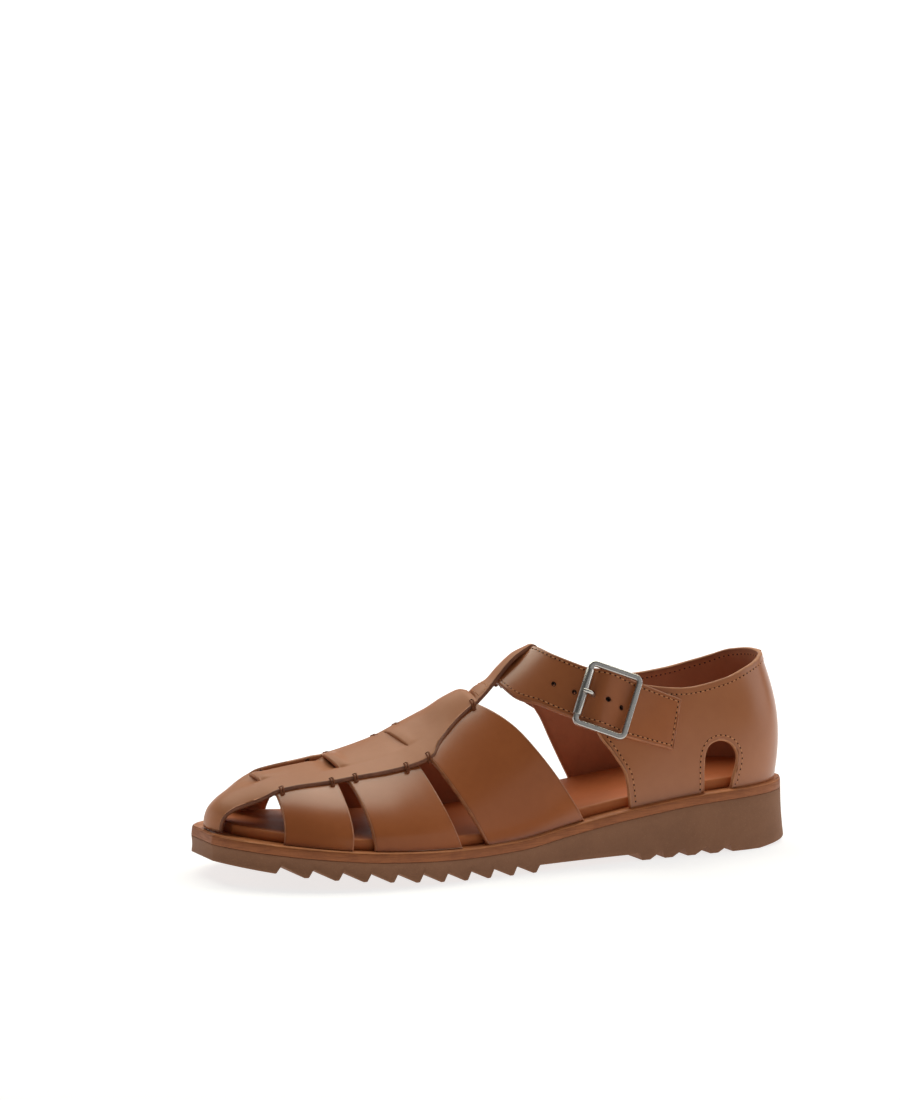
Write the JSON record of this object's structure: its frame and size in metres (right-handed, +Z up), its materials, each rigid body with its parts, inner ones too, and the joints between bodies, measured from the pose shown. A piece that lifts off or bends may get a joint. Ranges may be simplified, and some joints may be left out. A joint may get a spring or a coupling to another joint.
{
  "type": "sandal",
  "caption": "Left fisherman sandal with a lengthwise bar, cross straps, a buckled ankle strap, a closed heel and a saw-tooth sole.",
  "frame": {"origin": "floor level, below the middle of the sole's bounding box", "axes": "+X towards the toe, +Y towards the outer side of the foot, +Z up"},
  "size_m": [0.291, 0.1054, 0.0956],
  "materials": {
    "leather": "smooth, waxed, satin",
    "runner": "cut edge, dyed, matt",
    "footbed": "smooth, matt",
    "rubber": "moulded, matt",
    "metal": "polished, dark nickel"
  },
  "bodies": {
    "root": {"outsole": "rubber", "midsole": "runner", "insole": "footbed", "upper": "leather", "heel_tab": "leather", "buckle_frame": "metal", "buckle_roller": "metal", "buckle_prong": "metal"}
  },
  "joints": []
}
